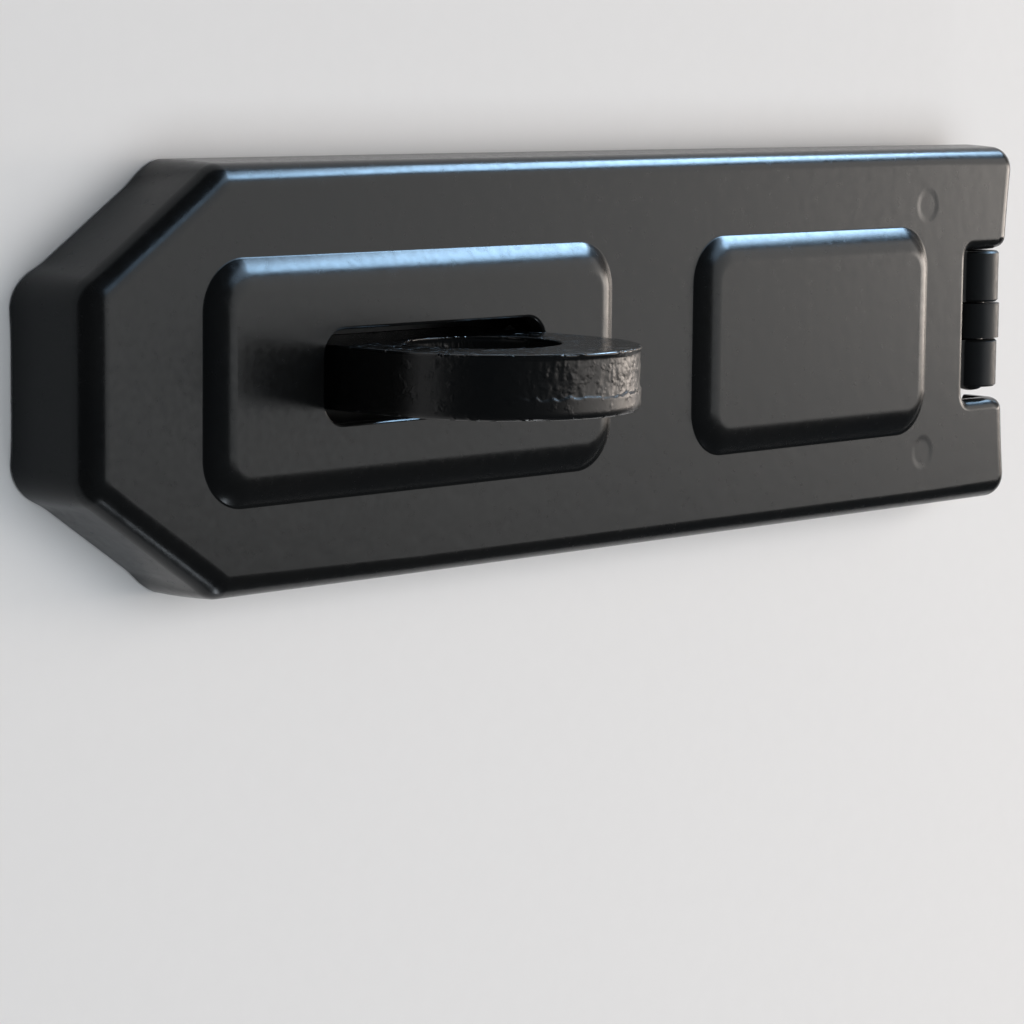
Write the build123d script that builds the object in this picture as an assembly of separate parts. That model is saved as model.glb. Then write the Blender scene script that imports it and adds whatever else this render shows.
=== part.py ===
from build123d import *

import os
from math import cos, radians, sin, tan

# A hasp with a covered hinge, and its staple, in millimetres.
# The back lies on Z = 0, the surface of the door. X runs along the hasp and X = 0 is under the
# hinge pin. The free end lies towards -X. Y runs across, and the staple stands up along +Z.

# The pressed cover
SHEET = 2.5                 # thickness of the pressed steel
FACE_HEIGHT = 13.6          # outside of the face above the door
RIM_GAP = 0.4               # the free end's rim stays this far off the door
FREE_REACH = 185.7          # from the pin to the free end, at the top of its wall
HINGE_REACH = 6.3           # from the pin to the corners of the hinge end, at the top of the wall
COVER_WIDTH = 53.2          # across the tops of the walls
NOSE_WIDTH = 25.6           # the square part of the free end, between the two slanted sides
NOSE_ANGLE = 34.0           # slant of those sides from X, in degrees
WALL_LEAN = 1.45            # how far the walls spread from their tops down to the door
SLANT_LEAN = 0.1            # the same for the two slanted sides
NOSE_FLARE = 1.8            # how far the rim of a slanted side flares out at the free end's corner
SHOULDER_FLARE = 1.3        # the same at its other corner
END_FLARE = 0.6             # the same for the free end itself, at both corners
FLARE_REACH = 7.0           # how far from a corner the rim starts to flare
TAIL_HOLLOW = 2.0           # how far the hinge end bows in between its corners
EDGE_ROUND = 2.5            # between the face and the walls
NOSE_ROUND = 4.2            # plan corners of the free end
TAIL_ROUND = 3.6            # plan corners of the hinge end
RIM_BEND = 126.0            # from the pin to where the rim starts to rise
RIM_RISE = 5.0              # how far the rim has risen at the pin, so that the cover can swing

# The two raised pads of the cover
PAD_HEIGHT = 2.6
PAD_WIDTH = 31.2
PAD_CORNER = 6.6
PAD_SLOPE = 30.0            # lean of the pad walls, in degrees
PAD_FOOT_ROUND = 0.9
PAD_TOP_ROUND = 1.4
STAPLE_PAD_START = 167.4    # from the pin to the pad's far edge
STAPLE_PAD_LENGTH = 76.2
HINGE_PAD_START = 73.1
HINGE_PAD_LENGTH = 55.3

# The staple: an eye blanked from thick plate, standing in a base plate
EYE_PLACE = 127.6           # from the pin to the middle of the eye
EYE_WIDTH = 38.0
EYE_THICKNESS = 8.4
EYE_ROUND_HEIGHT = 26.4     # the centre of its round head above the door
EYE_HOLE_RADIUS = 10.3
EYE_HOLE_HEIGHT = 24.0      # the centre of its hole above the door
EYE_ROLLED_EDGE = 0.6       # drawn-in edge on the side that the punch met first
EYE_BURR_EDGE = 0.3         # filed edge on the other side
TENON_WIDTH = 30.0          # the foot of the eye that goes through the base plate
TENON_FIT = 0.05
SLOT_END_GAP = 1.8          # between the eye and the ends of the cover's slot
SLOT_SIDE_GAP = 1.9         # between the eye and the sides of the cover's slot
SLOT_CORNER = 3.4
SLOT_LIP = 0.4              # broken upper edge of the slot
PLATE_THICKNESS = 3.0
PLATE_CORNER = 4.0
STAPLE_PLATE_LENGTH = 74.0
STAPLE_PLATE_WIDTH = 28.0
STAPLE_BOLT_SPACING = 58.0
BOLT_RADIUS = 4.2           # clearance hole for an M8 bolt

# The hinge
PIN_RADIUS = 2.0
PIN_DEPTH = 4.15            # the pin's centre below the face
PIN_STAND_OUT = 0.8         # the pin's end beyond the last knuckle
PIN_SINK = 0.2              # the other end inside the first knuckle
PIN_POINT = 0.6             # broken edges of its ends
RUNNING_FIT = 0.04          # radial, between the pin and the fixed knuckle
STAKED_FIT = 0.01           # radial, between the pin and the moving knuckles
MOVING_KNUCKLE_RADIUS = 4.1
FIXED_KNUCKLE_RADIUS = 4.35
FIRST_KNUCKLE = 7.9         # lengths of the three knuckles, from +Y to -Y
MIDDLE_KNUCKLE = 5.4
LAST_KNUCKLE = 7.4
KNUCKLE_GAP = 0.3
KNUCKLE_EDGE = 0.3          # broken edges of the knuckles
NOTCH_WIDTH = 23.4          # the cover's notch around the knuckles
NOTCH_GAP = 0.3             # between the notch and the first knuckle
NOTCH_REACH = 7.1           # from the pin to the notch's inner edge
NOTCH_CORNER = 1.2
NOTCH_LIP = 0.8             # rounding of the notch's outer edge

# The leaf that moves with the cover
LEAF_THICKNESS = 2.3
LEAF_LENGTH = 25.5          # from the pin to the leaf's far edge
LEAF_SIDE_GAP = 1.1         # between the leaf and the walls of the cover, at their tops
LEAF_CORNER = 3.0
LEAF_WINDOW = 11.0          # from the pin to the far side of the gap between the two arms
LEAF_SHOULDER = 8.0         # from the pin to where the leaf narrows to its two arms
RIVET_RADIUS = 2.5
RIVET_PLACE = 17.6          # from the pin
RIVET_EDGE = 4.0            # from the leaf's sides to the middle of the rivets
RIVET_SINK = 0.06           # dished a little below the face

# The leaf that is bolted to the door
FIXED_LEAF_LENGTH = 76.0    # from the pin to the far edge
FIXED_LEAF_WIDTH = 28.0
FIXED_TONGUE_WIDTH = 21.0   # where it runs under the knuckles
FIXED_TONGUE_START = 8.5    # from the pin
FIXED_LUG_START = 9.0       # from the pin to the foot of the lug
FIXED_BOLT_PLACE = 46.0     # from the pin to the middle of the two holes
FIXED_BOLT_SPACING = 36.0

LEAF_WIDTH = COVER_WIDTH - 2 * (SHEET + LEAF_SIDE_GAP)
RIVET_SPACING = LEAF_WIDTH - 2 * RIVET_EDGE
PIN_HEIGHT = FACE_HEIGHT - PIN_DEPTH
UNDERSIDE = FACE_HEIGHT - SHEET
SLOT_LENGTH = EYE_WIDTH + 2 * SLOT_END_GAP
SLOT_WIDTH = EYE_THICKNESS + 2 * SLOT_SIDE_GAP
OVERCUT = 5.0               # how far cutting solids run past what they cut


def knuckle_spans():
    """Low and high Y of the first, middle and last knuckle, packed down from the notch's +Y side."""
    high = NOTCH_WIDTH / 2 - NOTCH_GAP
    spans = []
    for length in (FIRST_KNUCKLE, MIDDLE_KNUCKLE, LAST_KNUCKLE):
        spans.append((high - length, high))
        high -= length + KNUCKLE_GAP
    return spans


def rod(radius, low, high):
    """A round bar along the hinge line, between two values of Y."""
    bar = Cylinder(radius, high - low)
    return Pos(0, (low + high) / 2, PIN_HEIGHT) * Rot(90, 0, 0) * bar


def slab(low_x, high_x, width, low_z, high_z, corner):
    """A flat plate with round plan corners, centred on Y = 0."""
    plan = RectangleRounded(high_x - low_x, width, corner)
    return extrude(Pos((low_x + high_x) / 2, 0, low_z) * plan, amount=high_z - low_z)


def bolt_holes(middle_x, spacing):
    """Two upright cutters for bolts, side by side along X."""
    cutter = Cylinder(BOLT_RADIUS, 2 * PLATE_THICKNESS + OVERCUT)
    left = Pos(middle_x - spacing / 2, 0, 0) * cutter
    right = Pos(middle_x + spacing / 2, 0, 0) * cutter
    return left + right


def flare(straight, corner, away):
    """The end of a side of the plan, from its straight part to its corner, which may lie further out."""
    if abs((corner - straight).cross(away).Z) < 0.001:
        return Line(straight, corner)
    return TangentArc(straight, corner, tangent=away)


def flared(start, end, first_corner, last_corner):
    """A side of the plan along the line from start to end, flared out to its two corners."""
    along = (end - start).normalized()
    first = start + along * FLARE_REACH
    last = end - along * FLARE_REACH
    return [flare(first, first_corner, -along), Line(first, last), flare(last, last_corner, along)]


def cover_plan(height, inset):
    """Plan of the cover at a height above the door: a long box with a slanted nose, drawn in by inset.
    Down from the face, the walls spread and the corners of the nose flare more and more."""
    down = 1 - height / FACE_HEIGHT
    angle = radians(NOSE_ANGLE)
    spread = WALL_LEAN * down - inset
    slant_spread = SLANT_LEAN * down - inset
    half = COVER_WIDTH / 2 + spread
    tail_x = HINGE_REACH + spread
    nose_x = -FREE_REACH - spread
    nose_y = NOSE_WIDTH / 2 + (slant_spread - spread * sin(angle)) / cos(angle)
    shoulder_x = nose_x + (half - nose_y) / tan(angle)
    end_flare = END_FLARE * down
    corner_y = nose_y + (NOSE_FLARE * down - end_flare * sin(angle)) / cos(angle)
    nose = Vector(nose_x, nose_y)
    shoulder = Vector(shoulder_x, half)
    nose_corner = Vector(nose_x - end_flare, corner_y)
    shoulder_corner = Vector(shoulder_x - SHOULDER_FLARE * down / sin(angle), half)
    tail_corner = Vector(tail_x, half)

    def other(point):
        return Vector(point.X, -point.Y)

    sides = [Line(tail_corner, shoulder_corner)]
    sides += flared(shoulder, nose, shoulder_corner, nose_corner)
    sides += flared(nose, other(nose), nose_corner, other(nose_corner))
    sides += flared(other(nose), other(shoulder), other(nose_corner), other(shoulder_corner))
    sides += [Line(other(shoulder_corner), other(tail_corner))]
    sides += [ThreePointArc(other(tail_corner), Vector(tail_x - TAIL_HOLLOW, 0), tail_corner)]
    plan = make_face(sides)
    for corners, radius in (((nose_corner, shoulder_corner), NOSE_ROUND), ((tail_corner,), TAIL_ROUND)):
        for corner in corners:
            for place in (corner, other(corner)):
                vertex = plan.vertices().sort_by_distance(place)[0]
                plan = fillet(vertex, radius - inset)
    return plan


def walled(inset, height):
    """A solid block on the cover's plan drawn in by inset, with leaning walls."""
    foot = cover_plan(0, inset)
    top = Pos(0, 0, height) * cover_plan(height, inset)
    return loft([foot, top], ruled=True)


def pad_plan(start, length, inset):
    """Plan of a raised pad's foot, drawn in by inset on every side."""
    plan = RectangleRounded(length - 2 * inset, PAD_WIDTH - 2 * inset, PAD_CORNER - inset)
    return Pos(length / 2 - start, 0) * plan


def raised(plan):
    """A pad with sloping walls on the face, its upper edge rounded."""
    pad = extrude(Pos(0, 0, FACE_HEIGHT) * plan, amount=PAD_HEIGHT, taper=PAD_SLOPE)
    return fillet(pad.faces().sort_by(Axis.Z)[-1].edges(), PAD_TOP_ROUND)


def pads():
    """Start and length of the staple pad and the hinge pad."""
    return ((STAPLE_PAD_START, STAPLE_PAD_LENGTH), (HINGE_PAD_START, HINGE_PAD_LENGTH))


def cover_outside():
    """The cover's outer form, solid: drafted walls, rounded upper edge, two pads."""
    body = walled(0, FACE_HEIGHT)
    body = fillet(body.faces().sort_by(Axis.Z)[-1].edges(), EDGE_ROUND)
    for start, length in pads():
        body += raised(pad_plan(start, length, 0))
    reach = PAD_WIDTH / 2 + 0.5
    feet = [
        edge
        for edge in body.edges()
        if abs(edge.bounding_box().max.Z - FACE_HEIGHT) < 0.01
        and abs(edge.bounding_box().min.Z - FACE_HEIGHT) < 0.01
        and max(abs(edge.bounding_box().max.Y), abs(edge.bounding_box().min.Y)) < reach
        and edge.bounding_box().min.X > 1 - FREE_REACH + EDGE_ROUND
        and edge.bounding_box().max.X < -NOTCH_REACH
    ]
    return fillet(feet, PAD_FOOT_ROUND)


def cover_inside():
    """The hollow of the cover, one sheet thickness inside the outer form."""
    hollow = walled(SHEET, UNDERSIDE)
    inset = SHEET * tan(radians(PAD_SLOPE))
    for start, length in pads():
        plan = Pos(0, 0, UNDERSIDE) * pad_plan(start, length, inset)
        hollow += extrude(plan, amount=PAD_HEIGHT, taper=PAD_SLOPE)
    return hollow


def below_rim():
    """Everything under the rim, which lies along the door and then rises towards the hinge."""
    far = FREE_REACH + OVERCUT
    end = HINGE_REACH + OVERCUT
    rise = RIM_RISE * (RIM_BEND + end) / RIM_BEND
    profile = Polyline(
        (-far, -OVERCUT),
        (-far, RIM_GAP),
        (-RIM_BEND, RIM_GAP),
        (end, RIM_GAP + rise),
        (end, -OVERCUT),
        close=True,
    )
    side = make_face(Plane.XZ * profile)
    return extrude(side, amount=COVER_WIDTH, both=True)


def notch():
    """The opening around the knuckles, out through the hinge end."""
    reach = HINGE_REACH + OVERCUT
    plan = RectangleRounded(NOTCH_REACH + reach, NOTCH_WIDTH, NOTCH_CORNER)
    return extrude(Pos((reach - NOTCH_REACH) / 2, 0, 0) * plan, amount=FACE_HEIGHT + OVERCUT)


def notch_edges(body):
    """The notch's outer edge, along the face and down the hinge end."""
    outer = []
    for edge in body.edges():
        middle = edge.position_at(0.5)
        across = abs(middle.Y) <= NOTCH_WIDTH / 2 + 0.01
        near = middle.X > -NOTCH_REACH - 0.01
        on_face = middle.Z > FACE_HEIGHT - 0.01
        on_end = middle.X > HINGE_REACH - TAIL_HOLLOW - EDGE_ROUND / 2
        on_sheet = abs(abs(middle.Y) - NOTCH_WIDTH / 2) < 0.01
        if across and near and (on_face or (on_end and on_sheet)):
            outer.append(edge)
    return outer


def cover():
    """The pressed cover, with its slot for the staple and its notch for the hinge."""
    body = cover_outside() - cover_inside() - below_rim()
    slot = Pos(-EYE_PLACE, 0, 0) * RectangleRounded(SLOT_LENGTH, SLOT_WIDTH, SLOT_CORNER)
    body -= extrude(slot, amount=FACE_HEIGHT + PAD_HEIGHT + OVERCUT)
    pad_top = FACE_HEIGHT + PAD_HEIGHT
    lip = [
        edge
        for edge in body.edges()
        if abs(edge.center().Z - pad_top) < 0.01
        and abs(edge.center().X + EYE_PLACE) <= SLOT_LENGTH / 2 + 0.01
        and abs(edge.center().Y) <= SLOT_WIDTH / 2 + 0.01
    ]
    body = chamfer(lip, SLOT_LIP)
    body -= notch()
    body = fillet(notch_edges(body), NOTCH_LIP)
    for side in (-1, 1):
        place = Pos(-RIVET_PLACE, side * RIVET_SPACING / 2, FACE_HEIGHT)
        body -= place * Cylinder(RIVET_RADIUS, 2 * OVERCUT)
    return body


def moving_leaf():
    """The leaf riveted under the cover, with two arms and the outer knuckles."""
    low_z = UNDERSIDE - LEAF_THICKNESS
    first, _, last = knuckle_spans()
    plate = slab(-LEAF_LENGTH, -LEAF_SHOULDER, LEAF_WIDTH, low_z, UNDERSIDE, LEAF_CORNER)
    window = Box(LEAF_WINDOW, MIDDLE_KNUCKLE + 2 * KNUCKLE_GAP, LEAF_THICKNESS + OVERCUT)
    window_y = (first[0] + last[1]) / 2
    leaf = plate - Pos(-LEAF_WINDOW / 2, window_y, UNDERSIDE) * window
    for low_y, high_y in (first, last):
        arm = Box(LEAF_WINDOW, high_y - low_y, LEAF_THICKNESS)
        leaf += Pos(-LEAF_WINDOW / 2, (low_y + high_y) / 2, UNDERSIDE - LEAF_THICKNESS / 2) * arm
        knuckle = rod(MOVING_KNUCKLE_RADIUS, low_y, high_y)
        leaf += chamfer(knuckle.edges().filter_by(GeomType.CIRCLE), KNUCKLE_EDGE)
    leaf -= rod(PIN_RADIUS + STAKED_FIT, last[0] - OVERCUT, first[1] + OVERCUT)
    for side in (-1, 1):
        place = Pos(-RIVET_PLACE, side * RIVET_SPACING / 2, UNDERSIDE)
        leaf -= place * Cylinder(RIVET_RADIUS, 2 * OVERCUT)
    return leaf


def leaf_rivets():
    """Two flush rivets that hold the moving leaf under the cover."""
    low_z = UNDERSIDE - LEAF_THICKNESS
    length = FACE_HEIGHT - RIVET_SINK - low_z
    rivet = Cylinder(RIVET_RADIUS, length)
    places = [Pos(-RIVET_PLACE, side * RIVET_SPACING / 2, low_z + length / 2) for side in (-1, 1)]
    return Compound(children=[place * rivet for place in places])


def fixed_leaf():
    """The leaf bolted to the door, with a lug that carries the middle knuckle."""
    low_y, high_y = knuckle_spans()[1]
    plate = slab(-FIXED_LEAF_LENGTH, -FIXED_TONGUE_START, FIXED_LEAF_WIDTH, 0, PLATE_THICKNESS, PLATE_CORNER)
    overlap = 2 * PLATE_CORNER
    plate += slab(
        -FIXED_TONGUE_START - overlap,
        FIXED_KNUCKLE_RADIUS,
        FIXED_TONGUE_WIDTH,
        0,
        PLATE_THICKNESS,
        PLATE_CORNER / 2,
    )
    profile = Polyline(
        (-FIXED_LUG_START, PLATE_THICKNESS),
        (-FIXED_KNUCKLE_RADIUS, PIN_HEIGHT),
        (FIXED_KNUCKLE_RADIUS, PIN_HEIGHT),
        (FIXED_KNUCKLE_RADIUS, PLATE_THICKNESS),
        close=True,
    )
    web = extrude(make_face(Plane.XZ * profile), amount=(high_y - low_y) / 2, both=True)
    leaf = plate + Pos(0, (low_y + high_y) / 2, 0) * web
    leaf += rod(FIXED_KNUCKLE_RADIUS, low_y, high_y)
    leaf -= rod(PIN_RADIUS + RUNNING_FIT, low_y - OVERCUT, high_y + OVERCUT)
    return leaf - bolt_holes(-FIXED_BOLT_PLACE, FIXED_BOLT_SPACING)


def hinge_pin():
    """The pin through the three knuckles, with an end that stands out at -Y."""
    first, _, last = knuckle_spans()
    pin = rod(PIN_RADIUS, last[0] - PIN_STAND_OUT, first[1] - PIN_SINK)
    return chamfer(pin.edges().filter_by(GeomType.CIRCLE), PIN_POINT)


def staple_plate():
    """The base plate that the eye stands in, with a bolt hole at each end."""
    half = STAPLE_PLATE_LENGTH / 2
    plate = slab(-EYE_PLACE - half, -EYE_PLACE + half, STAPLE_PLATE_WIDTH, 0, PLATE_THICKNESS, PLATE_CORNER)
    mortise = Box(TENON_WIDTH + 2 * TENON_FIT, EYE_THICKNESS + 2 * TENON_FIT, 2 * PLATE_THICKNESS + OVERCUT)
    plate -= Pos(-EYE_PLACE, 0, 0) * mortise
    return plate - bolt_holes(-EYE_PLACE, STAPLE_BOLT_SPACING)


def staple_eye():
    """The eye: a round-headed plate with a large hole, on a tenon that fills the base plate."""
    radius = EYE_WIDTH / 2
    stem_height = EYE_ROUND_HEIGHT - PLATE_THICKNESS
    head = Pos(0, EYE_ROUND_HEIGHT) * Circle(radius)
    stem = Pos(0, PLATE_THICKNESS + stem_height / 2) * Rectangle(EYE_WIDTH, stem_height)
    tenon = Pos(0, PLATE_THICKNESS / 2) * Rectangle(TENON_WIDTH, PLATE_THICKNESS)
    hole = Pos(0, EYE_HOLE_HEIGHT) * Circle(EYE_HOLE_RADIUS)
    outline = head + stem + tenon - hole
    eye = extrude(Plane.XZ * outline, amount=EYE_THICKNESS / 2, both=True)
    for side, size in ((-1, EYE_ROLLED_EDGE), (1, EYE_BURR_EDGE)):
        edges = [
            edge
            for edge in eye.edges()
            if edge.center().Z > PLATE_THICKNESS + 1
            and abs(edge.center().Y - side * EYE_THICKNESS / 2) < 0.01
        ]
        eye = chamfer(edges, size)
    return Pos(-EYE_PLACE, 0, 0) * eye


PARTS = {
    "cover": cover,
    "moving_leaf": moving_leaf,
    "leaf_rivets": leaf_rivets,
    "hinge_pin": hinge_pin,
    "fixed_leaf": fixed_leaf,
    "staple_plate": staple_plate,
    "staple_eye": staple_eye,
}

os.makedirs("parts", exist_ok=True)
for name, make in PARTS.items():
    export_step(make(), f"parts/{name}.step")
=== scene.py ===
from math import pi, radians

import bpy
import numpy as np
from mathutils import Matrix, Vector
from mathutils.geometry import delaunay_2d_cdt


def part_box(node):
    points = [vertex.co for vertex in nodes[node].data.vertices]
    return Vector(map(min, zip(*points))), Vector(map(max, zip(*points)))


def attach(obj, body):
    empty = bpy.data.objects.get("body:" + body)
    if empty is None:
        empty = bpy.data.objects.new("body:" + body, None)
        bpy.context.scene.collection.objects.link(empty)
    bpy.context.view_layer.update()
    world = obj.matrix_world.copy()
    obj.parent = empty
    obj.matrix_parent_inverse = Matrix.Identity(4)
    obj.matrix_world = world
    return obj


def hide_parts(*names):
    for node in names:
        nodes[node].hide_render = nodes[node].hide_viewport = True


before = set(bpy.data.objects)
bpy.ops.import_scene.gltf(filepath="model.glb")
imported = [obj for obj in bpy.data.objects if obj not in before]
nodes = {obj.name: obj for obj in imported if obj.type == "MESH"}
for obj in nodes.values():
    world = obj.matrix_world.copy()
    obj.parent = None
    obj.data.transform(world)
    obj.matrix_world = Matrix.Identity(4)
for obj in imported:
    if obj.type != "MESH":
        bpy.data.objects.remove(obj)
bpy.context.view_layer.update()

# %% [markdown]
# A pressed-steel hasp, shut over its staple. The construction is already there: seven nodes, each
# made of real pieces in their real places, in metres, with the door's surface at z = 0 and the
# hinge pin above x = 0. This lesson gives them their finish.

scene = bpy.context.scene
scene.view_settings.view_transform = "Standard"
MM = 0.001
print("pieces:", ", ".join(sorted(nodes)))

# %% [markdown]
# The camera stands beyond the hasp's free end and looks down along it towards the hinge. It is
# rolled so that the hasp runs across the picture, and the eye of the staple points to the right.
# A long lens from half a metre away keeps the long edges almost parallel, as they are in the
# photograph.

# %% The camera
CAMERA_PLACE = Vector((-0.47938, 0.04230, 0.35733))
CAMERA_AIM = Vector((-0.11043, -0.02055, 0.01360))
CAMERA_ROLL = 0.60                          # degrees
CAMERA_LENS, CAMERA_SENSOR = 130.87, 36     # mm
CAMERA_NEAREST = 0.01


def aimed(place, aim, roll=0.0):
    """Matrix that puts an object at place, looking along its own -Z at aim.
    Right is forward cross Y, up is right cross forward, and roll turns both about forward."""
    forward = (aim - place).normalized()
    right = forward.cross(Vector((0, 1, 0))).normalized()
    up = right.cross(forward)
    facing = Matrix((right, up, -forward)).transposed().to_4x4()
    return Matrix.Translation(place) @ facing @ Matrix.Rotation(radians(roll), 4, "Z")


camera_data = bpy.data.cameras.new("camera")
camera_data.lens = CAMERA_LENS
camera_data.sensor_width = CAMERA_SENSOR
camera_data.clip_start = CAMERA_NEAREST
camera = bpy.data.objects.new("camera", camera_data)
camera.matrix_world = aimed(CAMERA_PLACE, CAMERA_AIM, CAMERA_ROLL)
scene.collection.objects.link(camera)
scene.camera = camera
print("camera to aim:", round((CAMERA_AIM - CAMERA_PLACE).length, 3), "m")

# %% [markdown]
# Black paint has almost no colour of its own, so what the eye sees is what it mirrors, and each
# lamp stands where one part of the hasp mirrors it. The flat face mirrors the high lamp. A low
# strip beyond the hinge draws the thin bright lines on the edges that look that way, and its glow
# makes the hinge end lighter than the free end. Beside the upper long edge stand a narrow bright
# strip of sky and a tall dim haze: the rounded edges mirror them as a blue line. The side lamp
# catches the lower edge of the eye. Sky and haze give no diffuse light, or the floor would turn
# blue. The fill above lights the floor evenly, and is hidden from reflections, so the edges that
# turn away from the lamps stay black.

# %% The lamps and the room
LAMP_AIM = Vector((-0.09, 0.0, 0.012))
LAMPS = {
    # name: place, length in the upright plane of X and width along Y, radiance, colour
    "warm_lamp": ((0.89, 0.12, 0.29), (0.85, 0.60), 0.3, (1.0, 0.84, 0.72)),
    "high_lamp": ((0.62, 0.16, 0.84), (1.20, 0.76), 2.25, (1.0, 0.94, 0.89)),
    "low_lamp": ((0.80, 0.00, 0.11), (0.80, 0.15), 8.0, (1.0, 0.88, 0.78)),
    "sky_lamp": ((0.66, 0.64, 0.13), (0.90, 0.20), 31.0, (0.46, 0.72, 1.0)),
    "haze_lamp": ((0.60, 0.72, 0.41), (1.80, 0.36), 5.0, (0.62, 0.80, 1.0)),
    "side_lamp": ((0.10, -0.95, 0.09), (0.60, 0.12), 8.0, (0.95, 0.97, 1.0)),
    "fill_lamp": ((-0.15, -0.10, 1.10), (1.20, 1.20), 1.95, (0.87, 0.94, 1.0)),
}
ROOM_COLOUR, ROOM_STRENGTH = (0.72, 0.86, 1.0, 1), 0.06


def lamp(name, place, size, radiance, colour):
    """A rectangular lamp at place, aimed at the hasp.
    Its power is its radiance times its area times pi."""
    data = bpy.data.lights.new(name, "AREA")
    data.shape = "RECTANGLE"
    data.size, data.size_y = size
    data.energy = radiance * size[0] * size[1] * pi
    data.color = colour
    made = bpy.data.objects.new(name, data)
    made.matrix_world = aimed(Vector(place), LAMP_AIM)
    scene.collection.objects.link(made)
    print(name, "power:", round(data.energy, 2), "W")
    return made


lamps = {name: lamp(name, *recipe) for name, recipe in LAMPS.items()}
lamps["fill_lamp"].visible_glossy = False
lamps["sky_lamp"].visible_diffuse = lamps["haze_lamp"].visible_diffuse = False

room = bpy.data.worlds.new("room")
scene.world = room
room.use_nodes = True
room_light = room.node_tree.nodes["Background"]
room_light.inputs["Color"].default_value = ROOM_COLOUR
room_light.inputs["Strength"].default_value = ROOM_STRENGTH

# %% [markdown]
# Each finish is a small tree of nodes on a Principled shader. One helper adds a node, fills its
# sockets and sets its switches in one line. The others add what every paint needs: a noise, a
# colour between two colours, a number between two numbers, and bumps one on another. With them a
# finish below reads like a recipe.

# %% Helpers for shader nodes


def add(tree, kind, sockets=None, **switches):
    """Adds a node to tree. sockets fills its inputs, by name or number: a value is set, and
    another node's output is linked."""
    made = tree.nodes.new("ShaderNode" + kind)
    for name, value in switches.items():
        setattr(made, name, value)
    for name, value in (sockets or {}).items():
        if isinstance(value, bpy.types.NodeSocket):
            tree.links.new(value, made.inputs[name])
        else:
            made.inputs[name].default_value = value
    return made


def noise(tree, place, scale, detail, roughness=0.5):
    """Smooth noise with so many hills per metre."""
    sockets = {"Vector": place, "Scale": scale, "Detail": detail, "Roughness": roughness}
    return add(tree, "TexNoise", sockets).outputs["Fac"]


def tinted(tree, share, low, high, start=0.0, end=1.0):
    """The colour that goes from low to high while share goes from start to end."""
    made = add(tree, "ValToRGB", {"Fac": share})
    first, last = made.color_ramp.elements
    first.position, last.position = start, end
    first.color, last.color = low, high
    return made.outputs["Color"]


def ranged(tree, value, start, end, low=0.0, high=1.0):
    """The number that goes from low to high while value goes from start to end, and no further."""
    return add(tree, "MapRange", {0: value, 1: start, 2: end, 3: low, 4: high}).outputs[0]


def bumped(tree, shader, *layers):
    """Bumps one on another. A layer is a height from 0 to 1 and the metres that 1 stands for."""
    below = {}
    for height, metres in layers:
        sockets = {"Height": height, "Distance": metres, "Strength": 1.0, **below}
        below = {"Normal": add(tree, "Bump", sockets).outputs["Normal"]}
    tree.links.new(below["Normal"], shader.inputs["Normal"])


print("node helpers ready")

# %% Helpers for finishes


def shade(black, tint):
    """A black of so much grey, times a tint."""
    return (black * tint[0], black * tint[1], black * tint[2], 1)


def new_finish(name):
    """An empty finish: its node tree, its shader, and the piece's own coordinates in metres."""
    made = bpy.data.materials.new(name)
    made.use_nodes = True
    tree = made.node_tree
    place = add(tree, "TexCoord").outputs["Object"]
    return made, tree, tree.nodes["Principled BSDF"], place


def dress(node, finish):
    """Gives a CAD node one finish, in place of the plain one that it came with."""
    mesh = nodes[node].data
    mesh.materials.clear()
    mesh.materials.append(finish)


print("finish helpers ready")

# %% [markdown]
# The floor is a plain pale sheet, the surface that the hasp is fixed to. It is matt, takes the
# hasp's soft shadow, and is what the lower walls mirror: lit paper along the sides, shadow close
# to the steel. A faint fibre in its colour keeps it from looking like a flat tint.

# %% The floor
FLOOR_HALF = 2.5
FIBRE_SCALE = 300.0         # fibres per metre
PAPER_DARK, PAPER_LIGHT = (0.80, 0.775, 0.76, 1), (0.82, 0.795, 0.78, 1)
PAPER_ROUGH, PAPER_SPECULAR = 0.9, 0.1

floor_mesh = bpy.data.meshes.new("floor")
floor_signs = ((-1, -1), (1, -1), (1, 1), (-1, 1))
floor_corners = [(x * FLOOR_HALF, y * FLOOR_HALF, 0) for x, y in floor_signs]
floor_mesh.from_pydata(floor_corners, [], [(0, 1, 2, 3)])
floor = bpy.data.objects.new("floor", floor_mesh)
scene.collection.objects.link(floor)

paper, tree, shader, place = new_finish("paper")
fibre = noise(tree, place, FIBRE_SCALE, 3.0)
paper_colour = tinted(tree, fibre, PAPER_DARK, PAPER_LIGHT)
tree.links.new(paper_colour, shader.inputs["Base Color"])
shader.inputs["Roughness"].default_value = PAPER_ROUGH
shader.inputs["Specular IOR Level"].default_value = PAPER_SPECULAR
floor_mesh.materials.append(paper)
print("floor:", 2 * FLOOR_HALF, "m wide")

# %% [markdown]
# Powder coat is a dry powder that melts on the hot steel and sets to a satin skin. It never
# levels quite flat: it keeps a slow orange-peel swell a couple of millimetres long, and a fine
# grain on top. Both are bump, far too shallow for geometry. A few specks of dust lie on it.

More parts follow.
